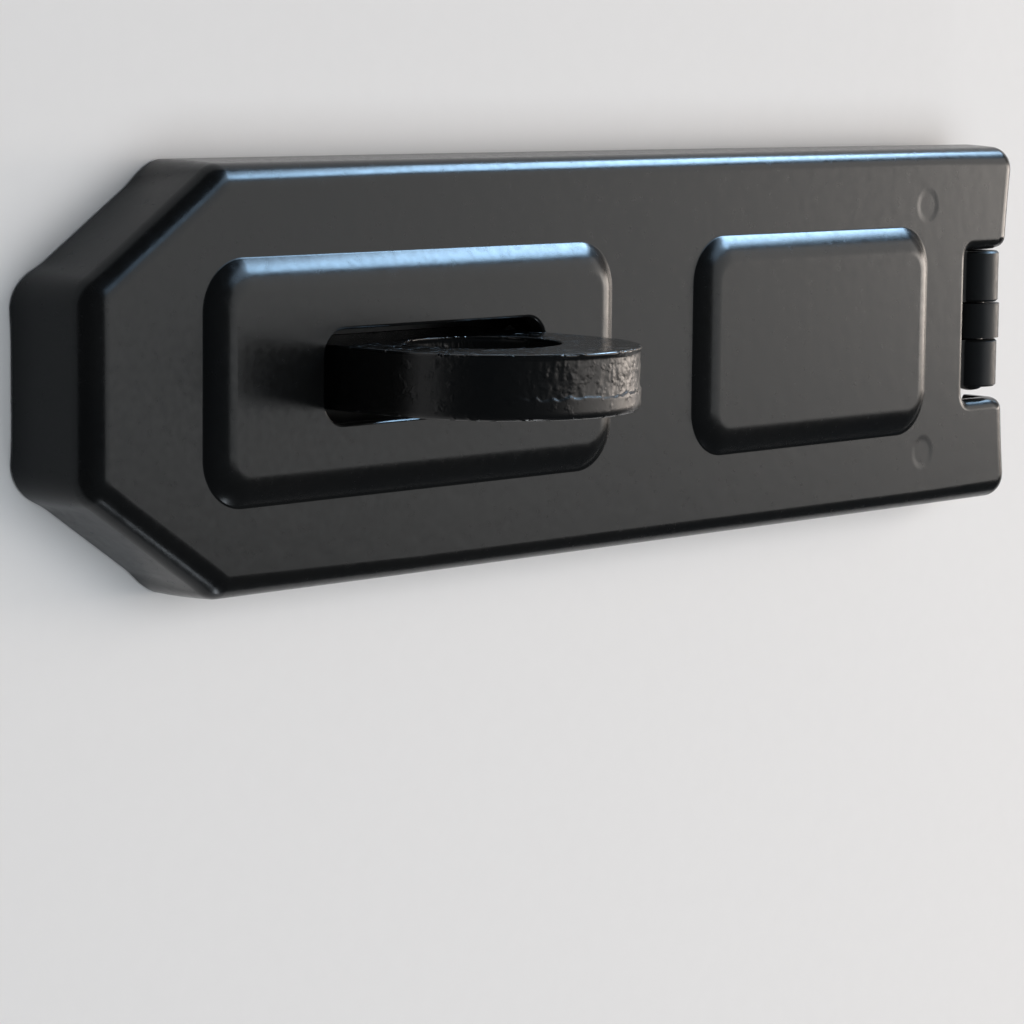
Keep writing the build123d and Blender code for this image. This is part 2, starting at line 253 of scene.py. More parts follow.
# %% Satin powder coat
CLOUD_SCALE, PATCH_SCALE, SWELL_SCALE, GRAIN_SCALE = 38.0, 900.0, 380.0, 2600.0
DARK_TINT, LIGHT_TINT = (0.80, 0.82, 0.84), (1.15, 1.12, 1.08)
GLOSS_SPREAD = 0.04         # how far the roughness strays either way
GRAIN_SHARE = 0.12          # the grain's height, as a share of the swell's
SPECK_SCALE, SPECK_REACH = 260.0, 0.05
SPECK_COLOUR = (0.16, 0.16, 0.15, 1)
# The blue Specular Tint is a painted reflection colour: it makes all that the coat mirrors bluer,
# as a bluish room would.
COAT_SPECULAR, PAINTED_BLUE_REFLECTION_TINT = 0.22, (0.84, 0.93, 1.0, 1)
MIX_SHARE, MIX_FIRST, MIX_SECOND = 0, 6, 7      # sockets of a Mix node that mixes colours


def powder_coat(name, black, rough, peel, dust):
    """Satin black. The swell and the grain are two noises, and peel is the swell's height.
    A speck is a cell of a Voronoi pattern whose random number is over 1 - dust, close to the
    cell's middle."""
    finish, tree, shader, place = new_finish(name)
    cloud = noise(tree, place, CLOUD_SCALE, 3.0)
    tint = tinted(tree, cloud, shade(black, DARK_TINT), shade(black, LIGHT_TINT), 0.35, 0.65)
    cells = add(tree, "TexVoronoi", {"Vector": place, "Scale": SPECK_SCALE})
    distance = cells.outputs["Distance"]
    near = add(tree, "Math", {0: distance, 1: SPECK_REACH}, operation="LESS_THAN")
    number = add(tree, "SeparateColor", {"Color": cells.outputs["Color"]}).outputs["Red"]
    rare = add(tree, "Math", {0: number, 1: 1.0 - dust}, operation="GREATER_THAN")
    speck = add(tree, "Math", {0: near.outputs[0], 1: rare.outputs[0]}, operation="MULTIPLY")
    mixed = {MIX_SHARE: speck.outputs[0], MIX_FIRST: tint, MIX_SECOND: SPECK_COLOUR}
    colour = add(tree, "Mix", mixed, data_type="RGBA")
    tree.links.new(colour.outputs[2], shader.inputs["Base Color"])
    patches = noise(tree, place, PATCH_SCALE, 2.0)
    gloss = ranged(tree, patches, 0.3, 0.7, rough - GLOSS_SPREAD, rough + GLOSS_SPREAD)
    tree.links.new(gloss, shader.inputs["Roughness"])
    swell = noise(tree, place, SWELL_SCALE, 2.0, 0.4)
    grain = noise(tree, place, GRAIN_SCALE, 2.0)
    bumped(tree, shader, (swell, peel), (grain, peel * GRAIN_SHARE))
    shader.inputs["Specular IOR Level"].default_value = COAT_SPECULAR
    # painted blue tint on the coat's reflections
    shader.inputs["Specular Tint"].default_value = PAINTED_BLUE_REFLECTION_TINT
    return finish


leaf_coat = powder_coat("leaf_coat", black=0.008, rough=0.40, peel=0.00003, dust=0.03)
plate_coat = powder_coat("plate_coat", black=0.008, rough=0.42, peel=0.00003, dust=0.03)
dress("moving_leaf", leaf_coat)
dress("leaf_rivets", leaf_coat)
dress("fixed_leaf", leaf_coat)
dress("staple_plate", plate_coat)
print("coated: leaves, rivets, plate")

# %% [markdown]
# The cover is one sheet of steel, 2.5 mm thick, pressed over a block. What shows how it was made
# is the way that its edges bend: soft where the sheet was drawn over the block, tight at the foot
# of a pad. Paint this dark shows an edge only as a highlight, and a highlight shows every facet.
# So the cover gets a skin of its own, worked out as sections carried along outlines, with exact
# normals. The solid keeps the size; the skin stays on it. Lengths in these cells are in
# millimetres, and x counts from the hinge pin towards the free end with a minus.

# %% The cover's measures
SHEET = 2.5
FACE = 13.6                 # height of the face above the door
FREE_END, TAIL_END = -185.7, 6.2        # x of the two ends, at the tops of the walls
TAIL_HOLLOW = 2.0           # how far the hinge end bows in between its corners
HALF_WIDTH = 26.6
NOSE_HALF, NOSE_SLANT = 12.8, radians(34.0)     # square part of the free end; its slanted sides
LEAN, TOP_OUT = 1.40, 0.95  # how far the walls stand out at the door and at the face
SLANT_LEAN = 0.1            # the same at the door for the slanted sides
BULGE = 0.22                # how far a wall swells halfway up
NOSE_FLARE, SHOULDER_FLARE, END_FLARE = 1.8, 1.3, 0.6   # rim at the corners of a slanted side
FLARE_REACH = 7.0           # how far from a corner its flare starts
NOSE_CORNER, TAIL_CORNER = 4.2, 3.6
RIM_GAP, RIM_BEND, RIM_RISE = 0.55, -126.0, 5.0     # off the door; climbs from here; by so much
NOTCH_HALF, NOTCH_END, NOTCH_CORNER = 11.7, -6.75, 1.2
NOTCH_LIP, RIM_LIP, SLOT_LIP, INNER_LIP = 1.8, 0.35, 0.45, 0.3      # radii of the open edges
PADS = ((-167.4, 77.0), (-73.1, 55.8))      # where each starts, and its length
PAD_HALF, PAD_CORNER, PAD_HEIGHT = 16.0, 6.9, 1.9
PAD_SLOPE, PAD_HOLLOW = radians(44), 0.3    # steepest slope; width of the hollow at the foot
SLOT_MIDDLE, SLOT_LENGTH, SLOT_HALF, SLOT_CORNER = -127.0, 41.6, 6.1, 3.4
DISH_PLACE, DISH_HALF_SPACING = -17.6, 19.0     # the soft dishes over the two rivets
DISH_RADIUS, DISH_BANK, DISH_DEPTH = 2.9, 1.3, 0.05     # DISH_BANK: width of the sloping edge
UP = (0.0, 0.0, 1.0)
print("sheet:", SHEET, "mm, face at", FACE, "mm")

# %% [markdown]
# The plan of the cover is half of a long box with a slanted nose, and its mirror image. It is not
# the same at every height: the walls spread towards the door, and the corners of the nose flare
# out. Each side is a row of points, and each corner a conic between two sides, which for equal
# sides is an arc.

# %% One side, one corner


def line(start, end, count):
    """Points from start to end, evenly spaced."""
    return np.linspace(start, end, count)


def bent(start, middle, end, count):
    """A parabola from start to end that leaves start towards middle and comes to end from it."""
    t = np.linspace(0, 1, count)[:, None]
    return (1 - t) ** 2 * start + 2 * t * (1 - t) * middle + t ** 2 * end


def joined(*parts):
    """Rows of points end to end, each meeting point kept once."""
    return np.concatenate([parts[0]] + [part[1:] for part in parts[1:]])


def spaced(points, first, last, count):
    """The same path again as count points, from a length of first along it to a length of last
    before its end."""
    run = np.concatenate(((0,), np.cumsum(np.linalg.norm(np.diff(points, axis=0), axis=1))))
    even = np.linspace(first, run[-1] - last, count)
    return np.stack([np.interp(even, run, points[:, axis]) for axis in (0, 1)], 1)


def unit(vectors):
    """Vectors made one long."""
    return vectors / np.linalg.norm(vectors, axis=-1, keepdims=True)


def corner_cut(before, after, radius):
    """How much a corner of a radius takes off each side: the radius times the tangent of half
    the turn."""
    turn = np.arccos(np.dot(unit(before[-1] - before[-3]), unit(after[2] - after[0])))
    return radius * np.tan(turn / 2)


def conic(before, after, count):
    """A rounded corner from the end of one side to the start of the next. Its middle point is
    where their tangents meet, and its weight is the cosine of half the turn."""
    a, c = before[-1], after[0]
    u, w = unit(before[-1] - before[-2]), unit(after[1] - after[0])
    reach = ((c - a)[0] * w[1] - (c - a)[1] * w[0]) / (u[0] * w[1] - u[1] * w[0])
    b = a + u * reach
    weight = np.sqrt((1 + np.dot(u, w)) / 2)
    t = np.linspace(0, 1, count)[:, None]
    low, mid, high = (1 - t) ** 2, 2 * weight * t * (1 - t), t ** 2
    return (low * a + mid * b + high * c) / (low + mid + high)


print("path helpers ready")

# %% The plan at one height
SIDE_COUNTS = (16, 13, 34, 13, 70, 13, 12)  # points: end, corner, slant, corner, side, corner, tail
FINE, SIDE_FINE, TAIL_FINE = 30, 200, 60    # points of a piece of a side, before it is spaced


def half_plan(down):
    """The +Y half of the plan, from the middle of the free end to the notch. down is 0 at the face
    and 1 at the door. A slanted side moves out along its own normal, the others along X or Y."""
    half = HALF_WIDTH + TOP_OUT + (LEAN - TOP_OUT) * down
    slant_out = SLANT_LEAN * down
    end_x = FREE_END - LEAN * down
    tail_x = TAIL_END + LEAN * down
    along = np.array((np.cos(NOSE_SLANT), np.sin(NOSE_SLANT)))
    nose_y = NOSE_HALF + (slant_out + (end_x - FREE_END) * along[1]) / along[0]
    nose = np.array((end_x, nose_y))
    shoulder = nose + along * (half - nose_y) / along[1]
    end_flare = END_FLARE * down
    nose_flare = (NOSE_FLARE * down - end_flare * along[1]) / along[0]
    nose_corner = nose + (-end_flare, nose_flare)
    shoulder_corner = shoulder - (SHOULDER_FLARE * down / along[1], 0)
    reach, halfway = FLARE_REACH, FLARE_REACH / 2
    across = np.array((0.0, 1.0))
    end = joined(
        line((end_x, 0), nose - across * reach, FINE),
        bent(nose - across * reach, nose - across * halfway, nose_corner, FINE),
    )
    first, last = nose + along * reach, shoulder - along * reach
    slant = joined(
        bent(nose_corner, first - along * halfway, first, FINE),
        line(first, last, FINE),
        bent(last, last + along * halfway, shoulder_corner, FINE),
    )
    side = line(shoulder_corner, (tail_x, half), SIDE_FINE)
    y = np.linspace(half, NOTCH_HALF + NOTCH_LIP, TAIL_FINE)
    tail = np.stack((tail_x - TAIL_HOLLOW * (1 - (y / half) ** 2), y), 1)
    nose_cut = corner_cut(end, slant, NOSE_CORNER)
    shoulder_cut = corner_cut(slant, side, NOSE_CORNER)
    tail_cut = corner_cut(side, tail, TAIL_CORNER)
    end = spaced(end, 0, nose_cut, SIDE_COUNTS[0])
    slant = spaced(slant, nose_cut, shoulder_cut, SIDE_COUNTS[2])
    side = spaced(side, shoulder_cut, tail_cut, SIDE_COUNTS[4])
    tail = spaced(tail, tail_cut, 0, SIDE_COUNTS[6])
    nose_arc = conic(end, slant, SIDE_COUNTS[1])
    shoulder_arc = conic(slant, side, SIDE_COUNTS[3])
    tail_arc = conic(side, tail, SIDE_COUNTS[5])
    return joined(end, nose_arc, slant, shoulder_arc, side, tail_arc, tail)


def whole_plan(down):
    """The plan from the notch's -Y side, round the free end, to its +Y side."""
    half = half_plan(down)
    return joined(half[::-1] * (1, -1), half)


plan_top, plan_foot = whole_plan(0), whole_plan(1)
print("plan:", len(plan_top), "points, foot", np.ptp(plan_foot, axis=0).round(1), "mm")

# %% [markdown]
# The skin is kept as one growing list of points with their normals, and a list of faces. A strip
# or a ring is a grid of point numbers, so neighbours share points and no seam is left open. A face
# is turned round later where it looks away from its points' normals.

# %% The growing skin
skin_points, skin_normals, skin_faces = [], [], []


def put(points, normals):
    """Adds a grid of points and normals (..., 3). Gives the grid of their numbers."""
    start = sum(len(block) for block in skin_points)
    skin_points.append(points.reshape(-1, 3))
    skin_normals.append(unit(normals).reshape(-1, 3))
    return start + np.arange(points[..., 0].size).reshape(points.shape[:-1])


def put_flat(outline, height):
    """Adds an outline (n, 2) at a height, with normals straight up. Gives its points' numbers."""
    points = np.concatenate((outline, np.full((len(outline), 1), height)), 1)
    return put(points, np.broadcast_to(UP, points.shape))


def weave(grid, closed=False):
    """Quads between the rows and columns of a grid of numbers."""
    if closed:
        grid = np.concatenate((grid, grid[:, :1]), 1)
    corners = (grid[:-1, :-1], grid[1:, :-1], grid[1:, 1:], grid[:-1, 1:])
    skin_faces.append(np.stack(corners, -1).reshape(-1, 4))


def skin_so_far():
    """Every point of the skin so far, and its normal."""
    return np.concatenate(skin_points), np.concatenate(skin_normals)


print("skin started")

# %% [markdown]
# A wall rises from the rim with a slight bulge and bends over into the face on an arc. The arc is
# wider at the free end, where the sheet was drawn furthest. The rim lies along the door at the
# free end, and then climbs towards the hinge, so that the cover can swing.

# %% Walls and bent edge
WALL_ROWS, BEND_ROWS = 9, 15
EDGE_KNOTS = (              # points from the notch along the plan, and the bend's radius there
    (0, 3.4), (12, 3.4), (30, 2.7), (78, 2.8), (93, 3.4), (115, 3.4), (130, 3.3), (150, 3.7),
    (165, 3.7),
)


def wall_strip():
    """Rows from the rim up to the face. On the wall a point is the plan's top point, moved out by
    lean times down and by 4 b d (1 - d) for the bulge. On the bend it moves by R cos and R sin."""
    count = len(plan_top)
    ahead = np.gradient(plan_top, axis=0)
    out = unit(np.stack((-ahead[:, 1], ahead[:, 0]), 1))
    from_notch = np.minimum(np.arange(count), np.arange(count)[::-1])
    radius = np.interp(from_notch, *np.transpose(EDGE_KNOTS))
    lean = ((plan_foot - plan_top) * out).sum(1)
    tilt = np.arctan((lean + 4 * BULGE) / FACE)
    top_down = radius * (1 - np.sin(tilt)) / FACE
    rim = RIM_GAP + RIM_RISE * np.clip((plan_top[:, 0] - RIM_BEND) / -RIM_BEND, 0, None)
    rim_down = 1 - rim / FACE
    t = np.linspace(0, 1, WALL_ROWS)[:, None]
    down = rim_down + (top_down - rim_down) * t
    bulge = 4 * BULGE * (down * (1 - down) - top_down * (1 - top_down))
    flat = plan_top + (plan_foot - plan_top) * down[..., None] + out * bulge[..., None]
    wall = np.concatenate((flat, (FACE * (1 - down))[..., None]), -1)
    turn = tilt + (pi / 2 - tilt) * np.linspace(0, 1, BEND_ROWS)[1:, None]
    moved = out * (radius * (np.cos(turn) - np.cos(tilt)))[..., None]
    height = FACE - radius * (1 - np.sin(turn))
    bend = np.concatenate((wall[-1, :, :2] + moved, height[..., None]), -1)
    strip = np.concatenate((wall, bend))
    slope = np.stack(np.gradient(strip, axis=(0, 1)))
    normals = np.cross(slope[1], slope[0])
    normals *= np.sign((normals[..., :2] * out).sum(-1) + normals[..., 2])[..., None]
    normals[-1] = UP
    return strip, normals


wall_points, wall_normals = wall_strip()
wall_grid = put(wall_points, wall_normals)
weave(wall_grid)
print("walls:", wall_grid.shape, "points")

# %% [markdown]
# A pad is a section carried round a rounded rectangle: a tight hollow at its foot, and a wide
# crown whose slope dies away evenly onto the flat top. That is what a press does to thick sheet,
# and it is why a pad's highlight is sharp on its outer side and soft on its inner one. The slot
# and the two soft dishes over the rivets are loops as well.

# %% Loops and sections
SECTION_FINE, HOLLOW_ROWS, CROWN_ROWS = 400, 6, 22
PAD_CORNER_POINTS, SLOT_CORNER_POINTS, DISH_POINTS, DISH_ROWS = 24, 16, 48, 9


def rounded(middle_x, middle_y, half_length, half_width, corner, count):
    """A rounded rectangle, counter-clockwise, and its outward directions. On a corner's arc both
    turn together, and a side's points share one direction."""
    turn = np.linspace(0, pi / 2, count)
    quarter_out = np.stack((np.cos(turn), np.sin(turn)), 1)
    signs = np.array(((1, 1), (-1, 1), (-1, -1), (1, -1)))
    inner = np.array((half_length - corner, half_width - corner))
    arcs, outs = [], []
    for k, sign in enumerate(signs):
        c, s = np.cos(k * pi / 2), np.sin(k * pi / 2)
        out = quarter_out @ np.array(((c, s), (-s, c)))
        arcs.append(sign * inner + corner * out)
        outs.append(out)
    between = count // 2
    t = np.linspace(0, 1, between + 2)[1:-1, None]
    points, directions = [], []
    for k in range(4):
        start, end = arcs[k][-1], arcs[(k + 1) % 4][0]
        points += [arcs[k], start + (end - start) * t]
        directions += [outs[k], np.repeat(outs[k][-1:], between, 0)]
    return np.concatenate(points) + (middle_x, middle_y), np.concatenate(directions)


def pad_section():
    """Section of a pad from its foot: distance in, height, and the slope there. The slope grows
    evenly over the hollow and then falls evenly to nothing over the crown. Height is the sum of
    tan(slope), and the crown is as wide as is needed for it to reach the pad's height."""
    t = np.linspace(0, 1, SECTION_FINE)
    rising, falling = PAD_SLOPE * t, PAD_SLOPE * (1 - t)
    hollow_up = PAD_HOLLOW * np.tan(rising).mean()
    crown = (PAD_HEIGHT - hollow_up) / np.tan(falling).mean()
    inward = np.concatenate((PAD_HOLLOW * t, PAD_HOLLOW + crown * t))
    slopes = np.concatenate((rising, falling))
    steps = np.diff(inward) * (np.tan(slopes[1:]) + np.tan(slopes[:-1])) / 2
    height = np.concatenate(((0,), np.cumsum(steps)))
    crown_rows = PAD_HOLLOW + crown * np.linspace(0, 1, CROWN_ROWS)[1:]
    rows = np.concatenate((np.linspace(0, PAD_HOLLOW, HOLLOW_ROWS), crown_rows))
    up = np.interp(rows, inward, height) * PAD_HEIGHT / height[-1]
    return rows, up, np.interp(rows, inward, slopes)


def ring(outline, out, inward, height, facing):
    """A section carried round an outline. A row is drawn in by inward and lies at height, and its
    normal is out times sin(facing) plus up times cos(facing)."""
    flat = outline[None] - out[None] * inward[:, None, None]
    column = flat.shape[:2] + (1,)
    z = np.broadcast_to(height[:, None, None], column)
    normal_flat = out[None] * np.sin(facing)[:, None, None]
    normal_up = np.broadcast_to(np.cos(facing)[:, None, None], column)
    grid = put(np.concatenate((flat, z), -1), np.concatenate((normal_flat, normal_up), -1))
    weave(grid, closed=True)
    return grid


pad_in, pad_up, pad_slope = pad_section()
pad_grids = []
for pad_start, pad_length in PADS:
    half_length = pad_length / 2
    pad_outline, pad_out = rounded(
        pad_start + half_length, 0, half_length, PAD_HALF, PAD_CORNER, PAD_CORNER_POINTS
    )
    pad_grids.append(ring(pad_outline, pad_out, pad_in, FACE + pad_up, pad_slope))
print("pad section:", round(float(pad_in[-1]), 2), "mm wide,", PAD_HEIGHT, "mm high")

# %% [markdown]
# A dish is a loop too. Its bank goes down as 3 t^2 - 2 t^3, which starts and ends level.

# %% The dishes and the slot
dish_in = np.linspace(0, DISH_BANK, DISH_ROWS)
dish_share = dish_in / DISH_BANK
dish_up = -DISH_DEPTH * dish_share * dish_share * (3 - 2 * dish_share)
dish_tilt = np.arctan(DISH_DEPTH * 6 * dish_share * (1 - dish_share) / DISH_BANK)
dish_turn = np.linspace(0, 2 * pi, DISH_POINTS, endpoint=False)
dish_out = np.stack((np.cos(dish_turn), np.sin(dish_turn)), 1)
dish_grids = []
for side in (-1, 1):
    dish_outline = dish_out * DISH_RADIUS + (DISH_PLACE, side * DISH_HALF_SPACING)
    dish_grids.append(ring(dish_outline, dish_out, dish_in, FACE + dish_up, -dish_tilt))

slot_outline, slot_out = rounded(
    SLOT_MIDDLE, 0, SLOT_LENGTH / 2 + SLOT_LIP, SLOT_HALF + SLOT_LIP, SLOT_CORNER + SLOT_LIP,
    SLOT_CORNER_POINTS,
)
slot_loop = put_flat(slot_outline, FACE + PAD_HEIGHT)
print("slot:", len(slot_loop), "points")

# %% The notch round the knuckles
NOTCH_POINTS, NOTCH_ARC_POINTS = 12, 10


def notch_path():
    """The notch's edge on the face, from its -Y side to its +Y side: two straight runs and an arc
    at each inner corner."""
    inner_x, inner_y = NOTCH_END + NOTCH_CORNER, NOTCH_HALF - NOTCH_CORNER
    radius = NOTCH_CORNER + NOTCH_LIP
    turn = np.linspace(0, pi / 2, NOTCH_ARC_POINTS)
    arc = np.stack((inner_x - radius * np.sin(turn), inner_y + radius * np.cos(turn)), 1)
    tail_x = wall_points[-1, -1, 0]
    edge_y = inner_y + radius
    high = joined(
        line((tail_x, edge_y), (inner_x, edge_y), NOTCH_POINTS),
        arc,
        line(arc[-1], (NOTCH_END - NOTCH_LIP, 0), NOTCH_POINTS),
    )
    return joined(high * (1, -1), high[::-1])[1:-1]


notch_loop = put_flat(notch_path(), FACE)
print("notch:", len(notch_loop), "points")

# %% [markdown]
# What is left of the skin is flat: the face round the pads, the top of each pad, the middle of
# each dish. A Delaunay triangulation fills them between the loops, and the even-odd rule throws
# away the triangles that lie in a hole.

# %% Flat parts
LEVEL = 1e-12               # a shorter rise than this is taken as this much
WELD = 1e-6


def odd_crossings(places, loops):
    """Whether a ray from each place along +X crosses the loops an odd number of times."""
    x, y = places[:, :1], places[:, 1:]
    crossed = np.zeros(len(places), int)
    for loop in loops:
        a, b = loop, np.roll(loop, -1, 0)
        spans = (a[:, 1] > y) != (b[:, 1] > y)
        rise = np.where(np.abs(b[:, 1] - a[:, 1]) < LEVEL, LEVEL, b[:, 1] - a[:, 1])
        at = a[:, 0] + (y - a[:, 1]) * (b[:, 0] - a[:, 0]) / rise
        crossed += (spans & (x < at)).sum(1)
    return crossed % 2 == 1


def loop_edges(length, start):
    """The edges of a closed loop of a length, its points counted from start."""
    ahead = np.arange(length)
    return start + np.stack((ahead, (ahead + 1) % length), 1)


def fill(*loops):
    """Flat triangles between an outer loop and the loops inside it, given as numbers of points."""
    everything = np.concatenate(skin_points)
    numbers = np.concatenate(loops)
    lengths = [len(loop) for loop in loops]
    edges = np.concatenate(list(map(loop_edges, lengths, np.cumsum([0] + lengths))))
    flat = list(map(Vector, everything[numbers, :2].tolist()))
    result = delaunay_2d_cdt(flat, edges.tolist(), [], 1, WELD)
    kept = np.array([old[0] for old in result[3]])
    triangles = numbers[kept[np.array(result[2])]]
    middles = everything[triangles, :2].mean(1)
    inside = odd_crossings(middles, [everything[loop, :2] for loop in loops])
    skin_faces.append(triangles[inside])
    print("filled:", len(skin_faces[-1]), "triangles")


face_loop = np.concatenate((wall_grid[-1], notch_loop[::-1]))
fill(face_loop, *[grid[0] for grid in pad_grids + dish_grids])
fill(pad_grids[0][-1], slot_loop)
fill(pad_grids[1][-1])
for grid in dish_grids:
    fill(grid[-1])

# %% [markdown]
# The skin becomes a sheet. Every point has a partner one thickness further in: along its normal
# in the walls, and straight down under the face, where the press stretched the pads and thinned
# their walls. Along the open edges a lip closes the sheet: it rounds the outer edge, crosses the
# thickness, and turns in under. Its direction at each point lies in the skin and points out of it.

# %% The inner side
LIP_ROWS, INNER_LIP_ROWS = 7, 5

outer = skin_so_far()
outer_faces = list(skin_faces)
inner_start = len(outer[0])
sink = outer[1].copy()
sink[wall_grid.size:] = UP
put(outer[0] - SHEET * sink, -outer[1])
skin_faces += [block + inner_start for block in outer_faces]
print("inner side:", inner_start, "points")

# %% The lips


def lip(loop, away, radius):
    """Closes the sheet along a closed loop. away is the direction out of the skin at each point.
    A row is p + away r sin(f) - n r (1 - cos(f)) on the outer arc, and the same with the small
    radius inside."""
    points, normals = outer[0][loop], outer[1][loop]
    radius = np.broadcast_to(radius, (len(loop),))[:, None]
    rows, faces = [], []
    for f in np.linspace(0, pi / 2, LIP_ROWS)[1:]:
        rows.append(points + away * radius * np.sin(f) - normals * radius * (1 - np.cos(f)))
        faces.append(normals * np.cos(f) + away * np.sin(f))
    for f in np.linspace(pi / 2, 0, INNER_LIP_ROWS):
        out = radius - INNER_LIP * (1 - np.sin(f))
        down = SHEET - INNER_LIP * (1 - np.cos(f))
        rows.append(points + away * out - normals * down)
        faces.append(away * np.sin(f) - normals * np.cos(f))
    new = put(np.stack(rows), np.stack(faces))
    weave(np.concatenate((loop[None], new, (loop + inner_start)[None])), closed=True)


slot_away = np.concatenate((-slot_out, np.zeros((len(slot_out), 1))), 1)
lip(slot_loop, slot_away, SLOT_LIP)

tail_low, tail_high = wall_grid[::-1, 0], wall_grid[1:, -1]
edge_loop = np.concatenate((tail_low, wall_grid[0, 1:], tail_high, notch_loop[::-1]))
edge_points, edge_normals = outer[0][edge_loop], outer[1][edge_loop]
edge_ahead = np.roll(edge_points, -1, 0) - np.roll(edge_points, 1, 0)
edge_away = unit(np.cross(edge_normals, edge_ahead))
edge_away *= -np.sign(edge_away[:, 2].sum())
on_rim = np.isin(edge_loop, wall_grid[0])
lip(edge_loop, edge_away, np.where(on_rim, RIM_LIP, NOTCH_LIP))
print("sheet:", sum(len(block) for block in skin_points), "points")

# %% The cover's mesh


def faced(block, points, normals):
    """The same faces, each turned round if it looks away from the normals of its points."""
    a, b, c = points[block[:, 0]], points[block[:, 1]], points[block[:, 2]]
    look = (np.cross(b - a, c - a) * normals[block].mean(1)).sum(1)
    return np.where(look[:, None] < 0, block[:, ::-1], block)


cover_points, cover_normals = skin_so_far()
cover_mesh = bpy.data.meshes.new("cover_skin")
blocks = [faced(block, cover_points, cover_normals).tolist() for block in skin_faces]
cover_faces = [face for block in blocks for face in block]
cover_mesh.from_pydata((cover_points * MM).tolist(), [], cover_faces)
cover_mesh.shade_smooth()
cover_mesh.normals_split_custom_set_from_vertices(cover_normals.tolist())
cover = bpy.data.objects.new("cover_skin", cover_mesh)
scene.collection.objects.link(cover)
cover_coat = powder_coat("cover_coat", black=0.0055, rough=0.235, peel=0.00002, dust=0.02)
cover_mesh.materials.append(cover_coat)
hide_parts("cover")
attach(cover, "flap")
print("cover:", len(cover_mesh.polygons), "faces")

# %% [markdown]
# The eye of the staple was punched out of thick plate, and its rim shows it. The punch first
# rolls the edge over and then shears a smooth land. After a third of the thickness the rest tears
# away, and leaves a rough, slightly smaller band of ridges that run the way the punch went. The
# eye is one ring: a closed section carried round the outline, so one grid of points makes all of
# it. The section goes across the rim, in over one face, through the hole and back over the other
# face. From here on lengths are in metres again.

# %% The outline of the eye
eye_low, eye_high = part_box("staple_eye")
plate_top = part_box("staple_plate")[1].z
EYE_X = (eye_low.x + eye_high.x) / 2
EYE_RADIUS = (eye_high.x - eye_low.x) / 2
HEAD_HEIGHT = eye_high.z - EYE_RADIUS
HALF_THICK = (eye_high.y - eye_low.y) / 2
HOLE_RADIUS = 10.3 * MM
HOLE_HEIGHT = 24.0 * MM
TENON_HALF = 15.0 * MM
AROUND = 640                # points round the outline
HEAD_FINE = 260             # points of the head's arc, before they are spaced


def eye_outline():
    """Points (x, z) round the eye, from the middle of its foot, counter-clockwise seen from -Y.
    All are evenly spaced along straight stretches and the head, which is half a circle."""
    turn = np.linspace(0, pi, HEAD_FINE)
    head_z = HEAD_HEIGHT + EYE_RADIUS * np.sin(turn)
    head = np.stack((EYE_RADIUS * np.cos(turn), head_z), 1)
    right = np.array(((0, 0), (TENON_HALF, 0), (TENON_HALF, plate_top), (EYE_RADIUS, plate_top)))
    left = right[::-1] * (-1, 1)
    knots = np.concatenate((right, head, left))
    run = np.concatenate(((0,), np.cumsum(np.linalg.norm(np.diff(knots, axis=0), axis=1))))
    even = np.linspace(0, run[-1], AROUND, endpoint=False)
    return np.stack([np.interp(even, run, knots[:, axis]) for axis in (0, 1)], 1), run[-1]


eye_path, perimeter = eye_outline()
eye_ahead = unit(np.roll(eye_path, -1, 0) - np.roll(eye_path, 1, 0))
eye_out = np.stack((eye_ahead[:, 1], -eye_ahead[:, 0]), 1)
print("round the eye:", round(perimeter / MM, 1), "mm")

# %% [markdown]
# The tear needs a pattern that is long one way and short the other. A lattice of random numbers
# does it: few rows across the thickness, many columns round the rim, blended smoothly in between.
# Folding the noise about its middle turns its soft hills into sharp ridges. Three such patterns
# are added, each finer than the last.

# %% Torn metal
dice = np.random.default_rng(7)
TEAR_START, TEAR_END = -1.5 * MM, 3.9 * MM      # across the thickness, after the smooth land
TEAR_STRAY = 0.6 * MM       # how far the start of the tear wanders
TEAR_STEP, TEAR_FADE = 0.25 * MM, 0.5 * MM      # how sharply it starts and ends
TEAR_DEPTH, TEAR_LEAST = 0.28 * MM, 0.25        # greatest depth, and the least as a share of it
TEAR_SLANT = 0.006          # how far the ridges lean, as a share of the way round


def smooth(t):
    """3t^2 - 2t^3, which goes from 0 to 1 and is level at both."""
    return t * t * (3 - 2 * t)


def lattice_noise(u, v, columns, rows):
    """Noise in 0..1 over u and v in 0..1, periodic in u.
    Each value is a blend of the four lattice numbers around it, with smooth weights."""
    numbers = dice.random((columns, rows + 2))
    x = (u % 1.0) * columns
    y = np.clip(v, 0, 1) * rows
    i, j = np.floor(x).astype(int), np.floor(y).astype(int)
    s, t = smooth(x - i), smooth(y - j)
    a, b = i % columns, (i + 1) % columns
    low = numbers[a, j] * (1 - s) + numbers[b, j] * s
    high = numbers[a, j + 1] * (1 - s) + numbers[b, j + 1] * s
    return low * (1 - t) + high * t


def ridged(u, v, columns, rows):
    """The noise folded about its middle: 1 - |2n - 1|, which peaks in sharp ridges."""
    return 1 - np.abs(2 * lattice_noise(u, v, columns, rows) - 1)


def step(value, low, high):
    """0 below low, 1 above high, and smooth between."""
    return smooth(np.clip((value - low) / (high - low), 0, 1))


